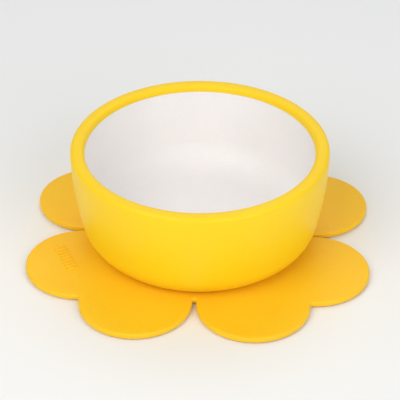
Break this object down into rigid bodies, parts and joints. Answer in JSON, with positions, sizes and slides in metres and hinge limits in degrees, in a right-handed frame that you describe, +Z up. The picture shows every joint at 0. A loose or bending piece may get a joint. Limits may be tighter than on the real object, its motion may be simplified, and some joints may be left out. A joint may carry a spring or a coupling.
{
  "type": "suction bowl",
  "caption": "Small round feeding bowl with a white inside and a yellow outside on a flat flower-shaped suction base whose petal pairs peel up to release it.",
  "frame": {"origin": "on the table, under the middle of the bowl, at the underside of the sealing lip", "axes": "+Z up out of the bowl; the deep clefts between petal pairs lie on X and Y"},
  "size_m": [0.1398, 0.1398, 0.0457],
  "materials": {
    "liner_white": "satin silicone",
    "shell_yellow": "satin silicone",
    "base_orange": "satin silicone"
  },
  "bodies": {
    "base": {"base_ring": "base_orange", "suction_cup": "base_orange"},
    "bowl": {"inner_bowl": "liner_white", "outer_shell": "shell_yellow"},
    "petals_1_2": {"petal_1": "base_orange", "petal_2": "base_orange"},
    "petals_3_4": {"petal_3": "base_orange", "petal_4": "base_orange"},
    "petals_5_6": {"petal_5": "base_orange", "petal_6": "base_orange"},
    "petals_7_8": {"petal_7": "base_orange", "petal_8": "base_orange"}
  },
  "joints": [
    {"name": "press", "type": "slide", "parent": "base", "child": "bowl", "axis": [0, 0, -1], "range_m": [0, 0.002], "stiffness_N_per_m": 10000, "deforming": ["suction_cup"]},
    {"name": "lift_petals_1_2", "type": "hinge", "parent": "base", "child": "petals_1_2", "pos_m": [0.03343, 0.03343, 0.0029], "axis": [0.7071, -0.7071, 0], "range_deg": [0, 65], "stiffness_Nm_per_rad": 0.026},
    {"name": "lift_petals_3_4", "type": "hinge", "parent": "base", "child": "petals_3_4", "pos_m": [-0.03343, 0.03343, 0.0029], "axis": [0.7071, 0.7071, 0], "range_deg": [0, 65], "stiffness_Nm_per_rad": 0.026},
    {"name": "lift_petals_5_6", "type": "hinge", "parent": "base", "child": "petals_5_6", "pos_m": [-0.03343, -0.03343, 0.0029], "axis": [-0.7071, 0.7071, 0], "range_deg": [0, 65], "stiffness_Nm_per_rad": 0.026},
    {"name": "lift_petals_7_8", "type": "hinge", "parent": "base", "child": "petals_7_8", "pos_m": [0.03343, -0.03343, 0.0029], "axis": [-0.7071, -0.7071, 0], "range_deg": [0, 65], "stiffness_Nm_per_rad": 0.026}
  ]
}
